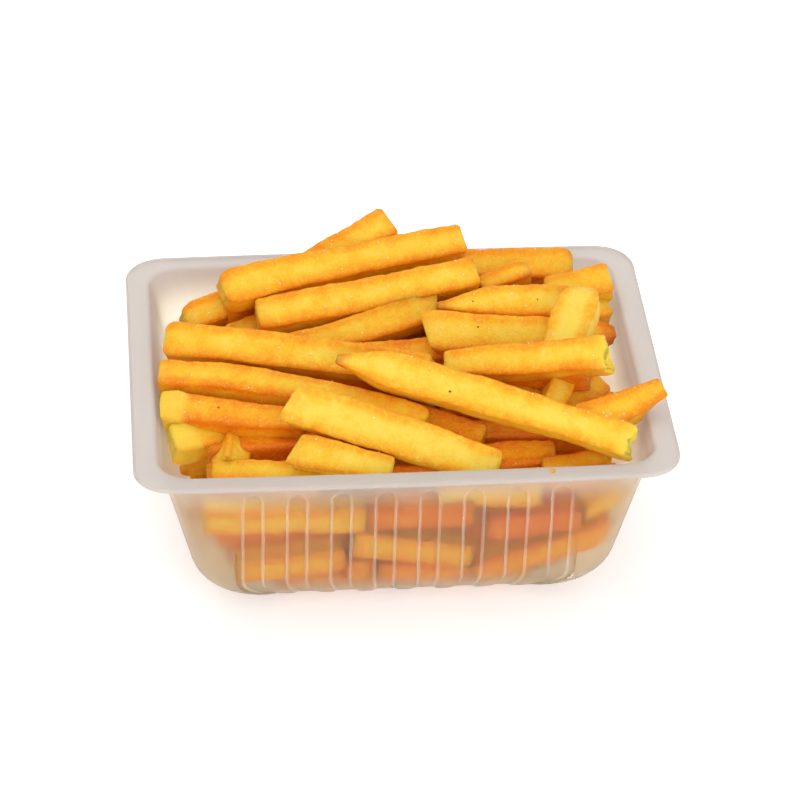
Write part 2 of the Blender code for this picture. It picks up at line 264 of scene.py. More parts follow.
class Finish:
    """A material in the making: its shader, and the patterns and colours that feed it."""

    def __init__(self, name):
        self.material = bpy.data.materials.new(name)
        self.material.use_nodes = True
        self.nodes = self.material.node_tree.nodes
        self.join = self.material.node_tree.links.new
        self.shader = self.nodes["Principled BSDF"]

    def set(self, socket, value):
        """A number, a colour or another node's output for one of the shader's sockets."""
        self.feed(self.shader.inputs[socket], value)

    def feed(self, socket, value):
        if isinstance(value, bpy.types.NodeSocket):
            self.join(value, socket)
        elif isinstance(value, tuple) and socket.type == "RGBA":
            socket.default_value = (*value, 1)
        else:
            socket.default_value = value

    def place(self):
        """The place on the piece, which goes wherever the piece goes."""
        return self.nodes.new("ShaderNodeTexCoord").outputs["Object"]

    def noise(self, scale, detail=2.0, roughness=0.5):
        found = self.nodes.new("ShaderNodeTexNoise")
        self.feed(found.inputs["Scale"], scale)
        self.feed(found.inputs["Detail"], detail)
        self.feed(found.inputs["Roughness"], roughness)
        self.feed(found.inputs["Vector"], self.place())
        return found.outputs["Fac"]

    def between(self, share, low, high):
        """A value that goes from low to high as the share goes from 0 to 1."""
        found = self.nodes.new("ShaderNodeMapRange")
        self.feed(found.inputs["Value"], share)
        self.feed(found.inputs["To Min"], low)
        self.feed(found.inputs["To Max"], high)
        return found.outputs["Result"]

    def calculate(self, operation, first, second, third=None, clamp=False):
        found = self.nodes.new("ShaderNodeMath")
        found.operation = operation
        found.use_clamp = clamp
        for socket, value in zip(found.inputs, (first, second, third)):
            if value is not None:
                self.feed(socket, value)
        return found.outputs["Value"]

    def blend(self, share, first, second):
        found = self.nodes.new("ShaderNodeMix")
        found.data_type = "RGBA"
        self.feed(found.inputs["Factor"], share)
        self.feed(found.inputs["A"], first)
        self.feed(found.inputs["B"], second)
        return found.outputs["Result"]

    def colours_by(self, share, *stops):
        found = self.nodes.new("ShaderNodeValToRGB")
        self.feed(found.inputs["Fac"], share)
        marks = found.color_ramp.elements
        while len(marks) < len(stops):
            marks.new(0.5)
        for mark, (where, shade) in zip(marks, stops):
            mark.position = where
            mark.color = (*shade, 1)
        return found.outputs["Color"]

    def bump(self, height, strength, distance):
        found = self.nodes.new("ShaderNodeBump")
        self.feed(found.inputs["Height"], height)
        self.feed(found.inputs["Strength"], strength)
        self.feed(found.inputs["Distance"], distance * MM)
        self.set("Normal", found.outputs["Normal"])


def frosted_sheet(name, colours, clear, rough):
    """Frosted polypropylene: milky at the thick rim, clearer where it was drawn thin."""
    sheet = Finish(name)
    sheet.set("IOR", 1.2)
    height = sheet.nodes.new("ShaderNodeSeparateXYZ")
    sheet.feed(height.inputs["Vector"], sheet.place())
    undrawn = sheet.nodes.new("ShaderNodeMapRange")
    undrawn.interpolation_type = "SMOOTHSTEP"
    sheet.feed(undrawn.inputs["From Min"], MILKY_FROM * MM)
    sheet.feed(undrawn.inputs["From Max"], MILKY_TO * MM)
    sheet.feed(undrawn.inputs["Value"], height.outputs["Z"])
    undrawn = undrawn.outputs["Result"]
    sheet.set("Base Color", sheet.blend(undrawn, *colours))
    sheet.set("Transmission Weight", sheet.between(undrawn, *clear))
    sheet.set("Roughness", sheet.between(sheet.noise(60, 4), *rough))
    sheet.bump(sheet.noise(1800), 0.12, 0.05)
    return sheet.material


wall_tint, rim_tint, bend_tint = (0.93, 0.84, 0.68), (0.73, 0.68, 0.645), (1.0, 0.95, 0.86)
for finish in (
    frosted_sheet("frosted_sheet", (wall_tint, rim_tint), (0.96, 0.45), (0.36, 0.48)),
    frosted_sheet("whitened_bend", (bend_tint, bend_tint), (0.84, 0.84), (0.3, 0.4)),
):
    tray.data.materials.append(finish)
bends = tray.data.color_attributes["bends"]
for face in tray.data.polygons:
    whiteness = max(bends.data[v].color[0] for v in face.vertices)
    face.material_index = 1 if whiteness > WHITE_ENOUGH else 0
tray.data.color_attributes.remove(bends)
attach(tray, "root")
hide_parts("tray")

# The fries
# Potato batons about 9 mm thick, fried golden: crisp raised edges, faces that sank a
# little, brown tips and torn or slanted ends. One baton is modelled and each fry is a
# copy drawn along its own middle line, uneven in its own way.
BLANK_LENGTH = 60.0
BLANK_SECTIONS = 36
FRY_THICKNESS = 8.0
FRIED_THICKER = 1.0
EDGE_ROUNDING = 1.35
FACE_CUTS = 1.4
END_INSET = 1.1
END_SUNK = 0.6
END_ZONE = 6.0
FRY_INSET = 0.5

# How uneven a fry is: its edges stand out, its faces sank, it swells and dips over longer
# and shorter stretches, and it rolls, twists and sways along its middle line.
EDGE_OUT = 0.12
FACE_IN = 0.34
SWELLS = ((0.36, 10), (0.14, 3.5))
EDGE_CRAGS = 0.24
SIZE_UNEVEN = 0.10
ROLL_UNEVEN = 5
TWIST_UNEVEN = 6
SWAY = 0.8
SWAY_UP = 0.6
TORN_DEPTH = 3
TORN_COARSE = 2.2
TORN_FINE = 0.9
# Painted shade: side faces and undersides get a deeper orange than the tops, and the whole tone
# is lowered a little so the tops stay light.
SIDE_SHADE_PAINTED = 0.17
CRUST_LESS = 0.05


def fry_blank(name, sections, finish_levels):
    """The baton that every fry copies: long edges rounded, ends sunken, cut in sections."""
    deselect_all()
    bpy.ops.mesh.primitive_cube_add(size=1)
    blank = bpy.context.object
    blank.name = name
    bpy.ops.object.mode_set(mode="EDIT")
    bpy.ops.transform.resize(value=(BLANK_LENGTH, FRY_THICKNESS, FRY_THICKNESS))
    bpy.ops.mesh.select_all(action="DESELECT")
    bpy.ops.object.mode_set(mode="OBJECT")
    for edge in blank.data.edges:
        start, stop = (blank.data.vertices[v].co for v in edge.vertices)
        edge.select = abs(start.x - stop.x) > 1
    bpy.ops.object.mode_set(mode="EDIT")
    bpy.ops.mesh.select_mode(type="EDGE")
    bpy.ops.mesh.bevel(offset=EDGE_ROUNDING, segments=3)
    bpy.ops.mesh.select_mode(type="FACE")
    bpy.ops.object.mode_set(mode="OBJECT")
    for face in blank.data.polygons:
        face.select = abs(face.normal.x) > 0.9
    bpy.ops.object.mode_set(mode="EDIT")
    bpy.ops.mesh.inset(thickness=END_INSET, depth=0.0, use_individual=True)
    bpy.ops.transform.resize(value=((BLANK_LENGTH - 2 * END_SUNK) / BLANK_LENGTH, 1, 1))
    for cut in range(1, sections):
        bpy.ops.mesh.select_all(action="SELECT")
        where = (BLANK_LENGTH * (cut / sections - 0.5), 0, 0)
        bpy.ops.mesh.bisect(plane_co=where, plane_no=(1, 0, 0))
    for where in (-FACE_CUTS, FACE_CUTS):
        for normal in ((0, 1, 0), (0, 0, 1)):
            bpy.ops.mesh.select_all(action="SELECT")
            bpy.ops.mesh.bisect(plane_co=(where, where, where), plane_no=normal)
    bpy.ops.object.mode_set(mode="OBJECT")
    if finish_levels:
        finer = blank.modifiers.new("Finer", "SUBSURF")
        finer.levels = finish_levels
        finer.render_levels = finish_levels
        bpy.ops.object.modifier_apply(modifier="Finer")
    bpy.ops.object.shade_smooth()
    return blank


def into_tray(point, inset):
    """The point, brought inside the tray's walls and floor by at least the inset."""
    x, y, z = point
    z = max(z, SHEET + inset)
    if z > TRAY_HEIGHT + 1:
        return Vector((x, y, z))
    half_x, half_y = inner_half(max(0.0, min(z, TRAY_HEIGHT) - 2 * SHEET))
    half_x -= inset
    half_y -= inset + FLUTE_DEPTH
    x = max(-half_x, min(half_x, x))
    y = max(-half_y, min(half_y, y))
    corner = BASE_CORNER + 1
    past = Vector((abs(x) - half_x + corner, abs(y) - half_y + corner, 0))
    if past.x > 0 and past.y > 0 and past.length > corner:
        past *= corner / past.length
        x = math.copysign(half_x - corner + past.x, x)
        y = math.copysign(half_y - corner + past.y, y)
    return Vector((x, y, z))


def fry_middle(fry, along):
    first, last, bow = Vector(fry[0]), Vector(fry[1]), fry[4]
    return first.lerp(last, along) + Vector((0, bow * 4 * along * (1 - along), 0))


def shape_end(kind, from_end, across, up):
    """(section scale, shift along, brown, pale) this far from an end of the given kind."""
    near = smooth(1 - from_end / END_ZONE)
    if kind == "tip":
        return 0.2 + 0.8 * smooth((from_end + 2) / 20), 0.0, smooth(1 - from_end / 6), 0.0
    if kind == "blunt":
        return 0.5 + 0.5 * smooth((from_end + 2) / 9), 0.0, smooth(1 - from_end / 7), 0.0
    if kind == "wedge":
        return 1 - 0.1 * near, up * 1.25 * near, 0.45 * near, 0.0
    if kind in ("round", "blade"):
        zone, least = (10, 0.2) if kind == "blade" else (5, 0.5)
        left = max(0.0, 1 - max(0.0, from_end) / zone)
        return least + (1 - least) * math.sqrt(1 - left**2), 0.0, 0.3 * near, 0.0
    if kind == "slant":
        return 1 - 0.08 * near, (up + across) * 0.45 * near, 0.3 * near, 0.25 * near
    if kind == "slant_back":
        return 1 - 0.08 * near, (up - across) * 0.45 * near, 0.3 * near, 0.25 * near
    if kind == "torn":
        return 1.0, 0.0, 0.0, near
    if kind == "knob":
        bulge = math.sin(math.pi * min(1.0, from_end / 9))
        return 1 + 0.14 * bulge, 0.0, 0.0, smooth((10 - from_end) / 3)
    return 1 - 0.06 * smooth(1 - from_end / 2), 0.0, 0.22 * near, 0.1 * near


def wander(placed, spacing, layer, seed):
    """A slow drift between -1 and 1 along a fry."""
    return noise.noise(Vector((placed / spacing, layer, 0)) + seed)


def make_fry(blank, name, fry, ends, tone, rolled, rng):
    """A copy of the blank along the fry's middle line, with its look as an attribute."""
    first, last, width_first, width_last, _ = fry
    length = (Vector(last) - Vector(first)).length
    mesh = blank.data.copy()
    look = mesh.color_attributes.new("look", "FLOAT_COLOR", "POINT")
    seed = Vector([rng.uniform(-500, 500) for _ in range(3)])
    roll = math.radians(rolled + rng.uniform(-ROLL_UNEVEN, ROLL_UNEVEN))
    twist = math.radians(rng.uniform(-TWIST_UNEVEN, TWIST_UNEVEN))
    zone = min(END_ZONE, 0.35 * length)
    stretch = (length - 2 * zone) / (BLANK_LENGTH - 2 * END_ZONE)
    for vert in mesh.vertices:
        from_first = vert.co.x + BLANK_LENGTH / 2
        from_last = BLANK_LENGTH - from_first
        if from_first < END_ZONE:
            placed = from_first * zone / END_ZONE
        elif from_last < END_ZONE:
            placed = length - from_last * zone / END_ZONE
        else:
            placed = zone + (from_first - END_ZONE) * stretch
        across, up = vert.co.y, vert.co.z
        to_edge = min(abs(across), abs(up))
        edge = smooth((to_edge - 1.9) / 1.3)
        browned_edge = smooth((to_edge - 0.5) / 2.9)
        outward = Vector((0, across, up)).normalized()
        brown, pale, scale, shift = 0.0, 0.0, 1.0, 0.0
        for kind, from_end, way in ((ends[0], placed, -1), (ends[1], length - placed, 1)):
            end_scale, end_shift, end_brown, end_pale = shape_end(kind, from_end, across, up)
            scale *= end_scale
            shift += way * end_shift
            brown = max(brown, end_brown)
            pale = max(pale, end_pale)
            if kind == "torn" and from_end < TORN_DEPTH:
                ragged = TORN_COARSE * noise.noise(Vector((across, up, 7)) / 3 + seed)
                ragged += TORN_FINE * noise.noise(Vector((across, up, 3)) / 1.2 + seed)
                shift += way * ragged * (1 - from_end / TORN_DEPTH)
        placed += shift
        along = placed / length
        within = min(1, max(0, along))
        point = Vector((placed, across, up))
        width = width_first + (width_last - width_first) * within
        thick = min(FRY_THICKNESS, width) + FRIED_THICKER
        wide = across * width / FRY_THICKNESS * scale
        wide *= 1 + SIZE_UNEVEN * wander(placed, 15, 0, seed)
        high = up * thick / FRY_THICKNESS * scale
        high *= 1 + SIZE_UNEVEN * wander(placed, 13, 5, seed)
        swell = EDGE_OUT * edge - FACE_IN * (1 - edge)
        for reach, spacing in SWELLS:
            swell += reach * noise.noise(point / spacing + seed)
        swell += EDGE_CRAGS * edge * noise.noise(point / 2 + seed)
        swell *= min(1.0, 0.35 + 0.65 * scale)
        wide += swell * outward.y
        high += swell * outward.z
        turn = roll + twist * (along - 0.5)
        wide, high = (
            wide * math.cos(turn) - high * math.sin(turn),
            wide * math.sin(turn) + high * math.cos(turn),
        )
        middle = fry_middle(fry, along)
        ahead = (fry_middle(fry, along + 0.02) - fry_middle(fry, along - 0.02)).normalized()
        side = Vector((0, 0, 1)).cross(ahead).normalized()
        upright = ahead.cross(side)
        sway = SWAY * wander(placed, 30, 9, seed) * math.sin(math.pi * within)
        middle += side * sway + upright * SWAY_UP * sway
        vert.co = into_tray(middle + side * wide + upright * high, FRY_INSET) * MM
        # Painted shade: side faces and undersides get a deeper tone in the crust channel, as if
        # in the shade of the tops.
        side_facing = smooth((abs(across) - abs(up)) / 2 + 0.5)
        underneath = smooth((-up - abs(across)) / 2 + 0.5)
        crust = tone + SIDE_SHADE_PAINTED * max(side_facing, underneath) - CRUST_LESS
        crust = min(1.0, max(0.0, crust))
        look.data[vert.index].color = (browned_edge, brown, pale, crust)
    fry_object = bpy.data.objects.new(name, mesh)
    bpy.context.collection.objects.link(fry_object)
    return fry_object


# The two ends of each fry that shows above the rim, its width at both, how far its middle
# bows to the back, then its two ends' kinds, how deeply it is fried, from 0 to 1, and how
# far it has rolled towards the front, in degrees.
TOP_FRIES = [
    ((-57, -40, 42), (-25, -45, 43), 8, 8, 0, "cut", "cut", 0.4, 25),
    ((-42, -26, 41), (-12, -33, 42), 9, 9, 0, "cut", "cut", 0.8, 10),
    ((0, -24, 50), (24, -35, 47), 9, 9, 0, "slant", "cut", 0.75, 20),
    ((18, -41, 44), (45, -39, 44), 9, 9, 0, "cut", "cut", 0.8, 20),
    ((40, -46, 43), (60, -43, 43), 8, 8, 0, "cut", "cut", 0.6, 20),
    ((-70, -8, 48), (-49, -12, 46), 6, 8, 0, "blunt", "cut", 1.0, 20),
    ((-69, -28, 45.5), (-53, -23, 44.5), 9.5, 9, 0, "knob", "cut", 0.3, 25),
    ((-51.5, -38, 44), (-48, -2, 42), 9, 9, 0, "slant", "cut", 0.3, 40),
    ((-32, -42, 51.5), (-4, -48, 47), 10.5, 8, 0, "slant_back", "cut", 0.25, 38),
    ((13, -8, 53), (40, -20, 50), 8, 8, 0, "cut", "slant", 0.65, 20),
    ((48, -19, 44), (67, -12, 44), 8, 7, 0, "cut", "round", 0.45, 25),
    ((45, -26, 48), (62, -11, 51), 9, 10, 0, "cut", "round", 0.55, 25),
    ((44, -28, 54), (53, -5, 57), 7, 8, 0, "slant", "cut", 0.15, 30),
    ((-10, 0, 54), (19, 4, 54), 9, 9, 0, "cut", "round", 0.6, 20),
    ((48, 14, 51), (70, 18, 49), 8, 7, 0, "cut", "blunt", 0.9, 20),
    ((50, 22, 53), (69.5, 28, 51.5), 9, 9, 0, "cut", "round", 0.35, 25),
    ((49, 29, 57), (70, 32, 59.5), 9, 11, 0, "cut", "cut", 0.35, 25),
    ((29, 30, 59), (45, 35, 62), 6.5, 7, 0, "cut", "round", 0.5, 25),
    ((16, 45, 57), (60, 45, 56), 10, 12, 1, "cut", "round", 0.45, 25),
    ((-50, 14, 53), (-16, 30, 55), 9, 9, 0, "cut", "cut", 0.4, 25),
    ((-63, 22, 55), (-38, 34, 57), 10, 9, 0, "round", "cut", 0.4, 30),
    ((-71.5, -6, 54), (7, -35, 54), 10.5, 9, 5, "cut", "round", 0.45, 12),
    ((-72, -18, 50), (-28, -26, 49), 11, 9, 0, "knob", "cut", 0.62, 10),
    ((-37, 4, 55), (13, 19, 60), 9, 10, -1, "cut", "slant", 0.4, 30),
    ((-32, 35, 58), (3, 50, 71.5), 10, 11, 0, "cut", "cut", 0.4, 25),
    ((14, 14, 64), (56, 17, 60), 10, 11.5, 1, "tip", "cut", 0.3, 30),
    ((10, 3, 62), (50, 4, 58), 13, 10, 0, "slant", "cut", 0.3, 40),
    ((47.5, -14, 59), (59.5, 13.5, 69), 12, 14, 0, "cut", "blade", 0.05, 0),
    ((14, -13, 60), (62, -21, 68), 9, 10.5, 0, "cut", "torn", 0.35, 35),
    ((52, -38, 54), (74, -30, 58.5), 12.5, 8, 0, "cut", "wedge", 0.45, 30),
    ((-69, 8.5, 58), (10, -17, 61), 11.5, 9.5, 1, "round", "cut", 0.35, 35),
    ((-41, 14.5, 61), (27.5, 28, 66), 11, 10, -1, "cut", "cut", 0.35, 30),
    ((-33, -32, 62), (27, -49, 47), 13, 11.5, 1, "slant_back", "cut", 0.12, 48),
    ((-51.5, 20.5, 67), (25, 45, 67), 11.5, 10.5, 1, "round", "cut", 0.35, 30),
    ((-19, -17, 67), (66, -50, 56), 12, 9.5, 2, "tip", "torn", 0.2, 38),
]
# So many of them make the lower piece, and the rest the upper one.
TOP_GROUP = 18


def join_all(name, items):
    deselect_all()
    for item in items:
        item.select_set(True)
    bpy.context.view_layer.objects.active = items[0]
    bpy.ops.object.join()
    joined = bpy.context.object
    joined.name = name
    return joined


rng = random.Random(7)
blank = fry_blank("fry_blank", BLANK_SECTIONS, 1)
top_objects = []
for number, fry in enumerate(TOP_FRIES):
    line, ends, tone, rolled = fry[:5], fry[5:7], fry[7], fry[8]
    top_objects.append(make_fry(blank, f"fry_{number}", line, ends, tone, rolled, rng))
lower_top = join_all("fries_lower_top", top_objects[:TOP_GROUP])
upper_top = join_all("fries_upper_top", top_objects[TOP_GROUP:])
bpy.data.objects.remove(blank, do_unlink=True)

# The crust: deep gold to orange brown by how deeply a fry is fried, in patches and
# mottles, with browner edges and tips, pale torn ends and fine light crumbs; the sides
# and undersides carry painted shade, and the light crumbs double as painted highlights.
potato = Finish("fried_potato_crust")
potato.set("Subsurface Weight", 0.5)
potato.set("Subsurface Radius", (1.0, 0.5, 0.12))
potato.set("Subsurface Scale", 2.5 * MM)
potato.set("IOR", 1.4)
potato.set("Specular IOR Level", 0.28)
look = potato.nodes.new("ShaderNodeAttribute")
look.attribute_name = "look"
parts = potato.nodes.new("ShaderNodeSeparateColor")
potato.feed(parts.inputs["Color"], look.outputs["Color"])
edge, brown, pale = parts.outputs["Red"], parts.outputs["Green"], parts.outputs["Blue"]
patches = potato.noise(150, 4)
mottle = potato.noise(480, 5, 0.65)
crumbs = potato.noise(1300, 3, 0.6)
uneven = potato.calculate("MULTIPLY_ADD", mottle, 0.5, -0.74)
uneven = potato.calculate("MULTIPLY_ADD", patches, 0.85, uneven)
uneven = potato.calculate("MULTIPLY_ADD", edge, 0.34, uneven)
# The crust channel carries the fry's own tone plus the painted shade of its sides and undersides.
fried = potato.calculate("MULTIPLY_ADD", look.outputs["Alpha"], 0.95, uneven, clamp=True)
colour = potato.colours_by(
    fried,
    (0.0, (0.95, 0.68, 0.085)),
    (0.3, (0.94, 0.55, 0.025)),
    (0.65, (0.92, 0.36, 0.004)),
    (1.0, (0.80, 0.18, 0.001)),
)
spotted = potato.calculate("MULTIPLY_ADD", mottle, 1.6, -0.55, clamp=True)
ridge = potato.calculate("MULTIPLY_ADD", edge, 2.0, -1.0, clamp=True)
broken = potato.calculate("MULTIPLY_ADD", spotted, 0.9, 0.1)
ridge = potato.calculate("MULTIPLY", ridge, broken, clamp=True)
colour = potato.blend(ridge, colour, (0.82, 0.27, 0.006))
# Fine light crumbs, partly painted highlight: pale yellow specks that stand in for glints of oil
# on the crust.
light_flecks_and_glints = potato.calculate("MULTIPLY_ADD", crumbs, 5.0, -2.6, clamp=True)
light_flecks_and_glints = potato.calculate("MULTIPLY", light_flecks_and_glints, 0.3)
colour = potato.blend(light_flecks_and_glints, colour, (0.98, 0.76, 0.20))
tipped = potato.calculate("ADD", spotted, 0.45)
tipped = potato.calculate("MULTIPLY", brown, tipped, clamp=True)
colour = potato.blend(tipped, colour, (0.58, 0.15, 0.008))
soft = potato.calculate("MULTIPLY", pale, 0.75)
colour = potato.blend(soft, colour, (0.95, 0.66, 0.07))
potato.set("Base Color", colour)
potato.set("Roughness", potato.calculate("MULTIPLY_ADD", mottle, 0.3, 0.33))
potato.bump(potato.calculate("MULTIPLY_ADD", crumbs, 0.6, mottle), 0.95, 0.6)
for piece in (lower_top, upper_top):
    piece.data.materials.append(potato.material)
    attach(piece, "root")
    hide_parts("fries")

# The fries underneath
# The rows along the walls, seen through the frosted sheet, the layer that the top ones
# lie on, and the fries that hold up the highest. They are the same batons with fewer
# sections, and both ends cut.
WALL_ROWS = 4
WALL_ROW_FIRST = 5.8
WALL_ROW_PITCH = 9.0
WALL_ROW_IN = 6.0
WALL_ROW_END = 12.0
WALL_SPLIT = 0.35
WALL_REACH = (0.4, 0.6)
WALL_FRY_WIDTH = 9
WALL_FRY_GAP = 2
WALL_FRY_LIFT = 0.4
BED_ROWS = 8
BED_FRONT = -40.0
BED_PITCH = 10.8
BED_MIDDLE = 48.0
BED_DROP = 7.0
BED_LEFT = -60.0
BED_RIGHT = 56.0
BED_SPLIT = (-22, 18)
BED_GAP = 3
BED_SHIFT = 6
BED_TURN = 3
BED_DIP = 3
BED_DIP_BEYOND = 40
COARSE_SECTIONS = 24
SEED = 12

# The ones that show through the front wall, and one in the gap at the back, as their
# middle line, widths and bow, and how deeply each is fried.
FRONT_WALL_FRIES = [
    ((-60, -48, 34), (-12, -48, 33), 9, 9, 0, 0.15),
    ((-51, -47, 14.5), (-18, -47, 18.5), 9, 9, 0, 0.3),
    ((-16, -48, 24), (20, -48, 17), 9, 9, 0, 0.25),
    ((-12, -47, 32.5), (20, -47, 34), 9, 9, 0, 0.75),
    ((24, -46, 28), (52, -47, 30), 11, 10, 0, 0.8),
    ((51, -46, 33), (65, -38, 34), 11, 10, 0, 0.1),
    ((20, -46, 10), (62, -45, 25), 9, 9, 0, 0.45),
    ((-14, -48, 10.5), (-14, -20, 10.5), 8, 8, 0, 0.7),
    ((-8, -46, 11), (20, -46, 11), 8, 8, 0, 0.6),
    ((4, 30, 56), (42, 35, 55), 9, 9, 0, 0.9),
    ((9, -47, 40), (40, -47, 39), 8, 8, 0, 0.0),
    ((-56, -41, 24), (-14, -41, 26), 9, 9, 0, 1.0),
    ((16, -40, 19), (58, -40, 31), 9, 9, 0, 0.8),
]

# The rows of the high fries that others hold up, and how those others lie under them.
CARRIED = (13, 16, 17, 18, 19, 20, 23, 24, 25, 26, 28, 30, 31, 33)
UNDER_DOWN = 7.8
UNDER_BACK = 3.5
UNDER_SHIFT = 3
UNDER_TURN = 2.5
UNDER_TILT = 0.6
UNDER_SHORTER = 4
UNDER_CLEAR = 2


def wall_fries(rng):
    """The rows along the walls: in front only the lowest, above which the list has them."""
    found = []
    for row in range(WALL_ROWS):
        z = WALL_ROW_FIRST + row * WALL_ROW_PITCH
        half_x, half_y = inner_half(z - 3)
        y = half_y - FLUTE_DEPTH - WALL_ROW_IN
        for side in (-1, 1):
            split = rng.uniform(-WALL_SPLIT, WALL_SPLIT) * half_x
            ends = (WALL_ROW_END - half_x, split, half_x - WALL_ROW_END)
            for start, stop in zip(ends, ends[1:]):
                lift = rng.uniform(-WALL_FRY_LIFT, WALL_FRY_LIFT)
                if side > 0 or row == 0:
                    left = (start + WALL_FRY_GAP, side * y, z - lift)
                    right = (stop - WALL_FRY_GAP, side * y, z + lift)
                    found.append((left, right, WALL_FRY_WIDTH, WALL_FRY_WIDTH, 0))
            x = side * (half_x - WALL_ROW_IN)
            reach = rng.uniform(*WALL_REACH) * half_y
            found.append(((x, -reach, z), (x, reach, z), WALL_FRY_WIDTH, WALL_FRY_WIDTH, 0))
    return found


def bed_fries(rng):
    """The layer under the top ones: rows of two fries end to end, highest in the middle."""
    found = []
    for row in range(BED_ROWS):
        y = BED_FRONT + row * BED_PITCH
        middle = BED_MIDDLE - BED_DROP * (y / BED_FRONT) ** 2
        split = rng.uniform(*BED_SPLIT)
        for left, right in ((BED_LEFT, split - BED_GAP), (split + BED_GAP, BED_RIGHT)):
            left += rng.uniform(0, BED_SHIFT)
            turn = rng.uniform(-BED_TURN, BED_TURN)
            dip = rng.uniform(0, BED_DIP)
            first = (left, y - turn, middle - (dip if left < 0 else 0))
            last = (right, y + turn, middle - (dip if right > BED_DIP_BEYOND else 0))
            found.append((first, last, FRY_THICKNESS, FRY_THICKNESS, 0))
    return found


def carrying_fries(rng):
    """The fries that the high ones lie on: each a little behind and below its own."""
    found = []
    for number in CARRIED:
        fry = TOP_FRIES[number]
        first, last = Vector(fry[0]), Vector(fry[1])
        run = (last - first).normalized()
        for layer in (1, 2):
            down = Vector((0, UNDER_BACK, -UNDER_DOWN)) * layer
            down += run * rng.uniform(-UNDER_SHIFT, UNDER_SHIFT)
            if (first.z + last.z) / 2 + down.z > BED_MIDDLE - UNDER_CLEAR:
                sideways = rng.uniform(-UNDER_TURN, UNDER_TURN)
                turn = Vector((0, sideways, rng.uniform(-UNDER_TILT, UNDER_TILT)))
                start = first + run * UNDER_SHORTER + down - turn
                stop = last - run * UNDER_SHORTER + down + turn
                found.append((tuple(start), tuple(stop), FRY_THICKNESS, FRY_THICKNESS, fry[4]))
    return found


# These draws are those of the solids, so that both layers lie nearly as they do there.
same_draws = random.Random(SEED)
below = [(*fry, rng.uniform(0.3, 0.7)) for fry in wall_fries(same_draws)]
# Painted shade: the bed and the carrying fries, down in the gaps between the top ones, get the
# deepest tones, 0.8 to 1.
below += [(*fry, rng.uniform(0.8, 1.0)) for fry in bed_fries(same_draws) + carrying_fries(rng)]
below += FRONT_WALL_FRIES
coarse_blank = fry_blank("coarse_fry_blank", COARSE_SECTIONS, 0)
below_objects = []
for number, fry in enumerate(below):
    line, ends, tone = fry[:5], ("cut", "cut"), fry[5]
    rolled = rng.uniform(0, 20)
    below_objects.append(make_fry(coarse_blank, f"below_{number}", line, ends, tone, rolled, rng))
fries_below = join_all("fries_below", below_objects)
bpy.data.objects.remove(coarse_blank, do_unlink=True)
fries_below.data.materials.append(potato.material)
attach(fries_below, "root")
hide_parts("fries")

# The middle of the heap
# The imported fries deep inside, where nothing shows but the dark between the others: a
# grid raised to an uneven mound, drawn down to a block and kept off the tray's walls.
CORE_CELLS = (60, 44)
CORE_SIDE = 9
CORE_BANK = 30
CORE_RISE = 15
CORE_ROUGH = 2
CORE_LUMPS = 9
CORE_DEPTH = 24
CORE_INSET = 5

deselect_all()
bpy.ops.mesh.primitive_grid_add(
    x_subdivisions=CORE_CELLS[0], y_subdivisions=CORE_CELLS[1], size=1
)
core = bpy.context.object
core.name = "heap_middle"
for vert in core.data.vertices:
    across, deep = vert.co.x * 2, vert.co.y * 2
    half_x, half_y = inner_half(CORE_BANK)
    x, y = across * (half_x - CORE_SIDE), deep * (half_y - CORE_SIDE)
    z = CORE_BANK + CORE_RISE * (1 - across**4) * (1 - deep**4)
    z += CORE_ROUGH * noise.noise(Vector((x, y, 0)) / CORE_LUMPS)
    vert.co = Vector((x, y, z)) * MM
bpy.ops.object.mode_set(mode="EDIT")
bpy.ops.mesh.select_all(action="SELECT")
bpy.ops.mesh.extrude_region_move(TRANSFORM_OT_translate={"value": (0, 0, -CORE_DEPTH * MM)})
bpy.ops.mesh.select_all(action="SELECT")
bpy.ops.mesh.normals_make_consistent(inside=False)
bpy.ops.object.mode_set(mode="OBJECT")
for vert in core.data.vertices:
    vert.co = into_tray(vert.co / MM, CORE_INSET) * MM
bpy.ops.object.shade_smooth()

# Painted shade: the mound is a darker orange brown than any fry, standing in for the shade deep
# in the heap.
gloom = Finish("painted_shade_deep_in_heap")
gloom.set("Base Color", gloom.blend(gloom.noise(160, 3), (0.55, 0.17, 0.02), (0.8, 0.36, 0.05)))
gloom.set("Roughness", 0.6)
core.data.materials.append(gloom.material)
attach(core, "root")
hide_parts("fries")

# Salt, specks and a crumb
# Fine salt shaken over the hot fries, a few burnt specks of crust, and one orange crumb
# that fell on the front of the flange. Each grain is a small worn lump laid on the crust.
SALT_GRAINS = 150
SALT_OVER = (66, 48)
SALT_LEVEL = 0.4
SALT_SIZES = (0.22, 0.45)
GRAIN_WORN = 0.16
SPECKS = [
    (-54, -21.5, 0.8),
    (13.7, -32, 0.9),
    (63, 19, 0.7),
    (45, 15, 0.6),
    (25.4, 1.5, 0.7),
    (25, 14, 0.6),
]
CRUMB = (41.5, -59.3, 2.0)
LUMP_UNEVEN = 0.5
ABOVE_ALL = 120.0

surfaces = []
for piece in (lower_top, upper_top, tray):
    corners = [vert.co for vert in piece.data.vertices]
    faces = [face.vertices[:] for face in piece.data.polygons]
    surfaces.append(BVHTree.FromPolygons(corners, faces))


def highest_under(x, y):
    """The highest surface at a place and the way it faces."""
    start, down = Vector((x, y, ABOVE_ALL)) * MM, Vector((0, 0, -1))
    hits = [surface.ray_cast(start, down)[:2] for surface in surfaces]
    hits = [hit for hit in hits if hit[0] is not None]
    return max(hits, key=lambda hit: hit[0].z) if hits else (None, None)


